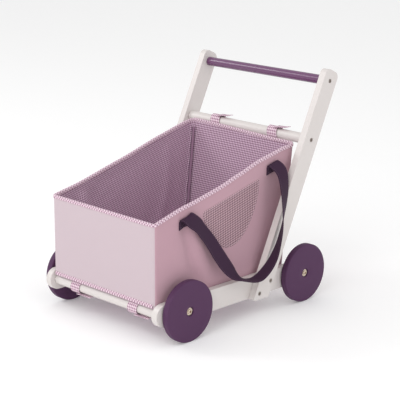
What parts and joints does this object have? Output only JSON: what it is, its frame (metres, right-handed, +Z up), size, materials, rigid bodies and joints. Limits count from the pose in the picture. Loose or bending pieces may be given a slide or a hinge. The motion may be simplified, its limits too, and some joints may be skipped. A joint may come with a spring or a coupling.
{
  "type": "doll stroller",
  "caption": "Toy doll pram: white wooden side frames, plum push bar and wheels, and an open sagging cloth bag with a gingham edge, patches and webbing carry straps.",
  "frame": {"origin": "on the floor, in the middle of the length and of the width of the whole part", "axes": "+Z up. +Y towards the push bar, so a child stands at +Y and pushes towards -Y, where the low end of the bag is. X runs across the width, along the bars and the wheel bolts, and -X is the left-hand side seen from the low end by someone who faces +Y."},
  "size_m": [0.3486, 0.412, 0.4],
  "materials": {
    "gingham": "checked woven cotton",
    "hardboard": "pressed fibreboard",
    "nylon": "moulded nylon",
    "pale_plating": "pale nickel plating",
    "pink_cotton": "woven cotton",
    "plum_paint": "satin plum lacquer over solid wood",
    "webbing": "flat woven webbing",
    "white_paint": "satin white lacquer over solid wood",
    "zinc_plating": "zinc plating"
  },
  "bodies": {
    "root": {"bag_floor": "gingham", "bag_front": "pink_cotton", "bag_rear": "pink_cotton", "bag_side_left": "pink_cotton", "bag_side_right": "pink_cotton", "base_board": "hardboard", "cross_bar": "white_paint", "cross_bar_screw_left": "zinc_plating", "cross_bar_screw_right": "zinc_plating", "foot_screw_front_left": "zinc_plating", "foot_screw_front_right": "zinc_plating", "foot_screw_rear_left": "zinc_plating", "foot_screw_rear_right": "zinc_plating", "front_bar": "white_paint", "front_bar_screw_left": "zinc_plating", "front_bar_screw_right": "zinc_plating", "front_hem": "gingham", "front_loop_left": "gingham", "front_loop_right": "gingham", "hub_washer_front_left": "pale_plating", "hub_washer_front_right": "pale_plating", "hub_washer_rear_left": "pale_plating", "hub_washer_rear_right": "pale_plating", "insert_nut_front_left": "zinc_plating", "insert_nut_front_right": "zinc_plating", "insert_nut_rear_left": "zinc_plating", "insert_nut_rear_right": "zinc_plating", "push_bar": "plum_paint", "push_bar_screw_left": "zinc_plating", "push_bar_screw_right": "zinc_plating", "rail_left": "white_paint", "rail_right": "white_paint", "rear_bar": "white_paint", "rear_bar_screw_left": "zinc_plating", "rear_bar_screw_right": "zinc_plating", "rear_loop_left": "gingham", "rear_loop_right": "gingham", "rim_binding": "gingham", "side_patch_left": "gingham", "side_patch_right": "gingham", "spacer_front_left": "nylon", "spacer_front_right": "nylon", "spacer_rear_left": "nylon", "spacer_rear_right": "nylon", "strap_end_front_left": "webbing", "strap_end_front_right": "webbing", "strap_end_rear_left": "webbing", "strap_end_rear_right": "webbing", "upright_left": "white_paint", "upright_right": "white_paint", "wheel_bolt_front_left": "pale_plating", "wheel_bolt_front_right": "pale_plating", "wheel_bolt_rear_left": "pale_plating", "wheel_bolt_rear_right": "pale_plating"},
    "wheel_front_left": {"wheel_front_left": "plum_paint"},
    "wheel_front_right": {"wheel_front_right": "plum_paint"},
    "wheel_rear_left": {"wheel_rear_left": "plum_paint"},
    "wheel_rear_right": {"wheel_rear_right": "plum_paint"},
    "strap_left": {"carry_strap_left": "webbing"},
    "strap_right": {"carry_strap_right": "webbing"}
  },
  "joints": [
    {"name": "wheel_front_left_spin", "type": "hinge", "parent": "root", "child": "wheel_front_left", "pos_m": [-0.14375, -0.1442, 0.051], "axis": [1, 0, 0], "continuous": true},
    {"name": "wheel_front_right_spin", "type": "hinge", "parent": "root", "child": "wheel_front_right", "pos_m": [0.14375, -0.1442, 0.051], "axis": [1, 0, 0], "continuous": true},
    {"name": "wheel_rear_left_spin", "type": "hinge", "parent": "root", "child": "wheel_rear_left", "pos_m": [-0.14375, 0.1345, 0.051], "axis": [1, 0, 0], "continuous": true},
    {"name": "wheel_rear_right_spin", "type": "hinge", "parent": "root", "child": "wheel_rear_right", "pos_m": [0.14375, 0.1345, 0.051], "axis": [1, 0, 0], "continuous": true},
    {"name": "strap_left_lift", "type": "hinge", "parent": "root", "child": "strap_left", "pos_m": [-0.13, -0.13334, 0.20192], "axis": [0, 0.9662, 0.2578], "range_deg": [0, 160]},
    {"name": "strap_right_lift", "type": "hinge", "parent": "root", "child": "strap_right", "pos_m": [0.13, -0.13334, 0.20192], "axis": [0, -0.9662, -0.2578], "range_deg": [0, 160]}
  ]
}
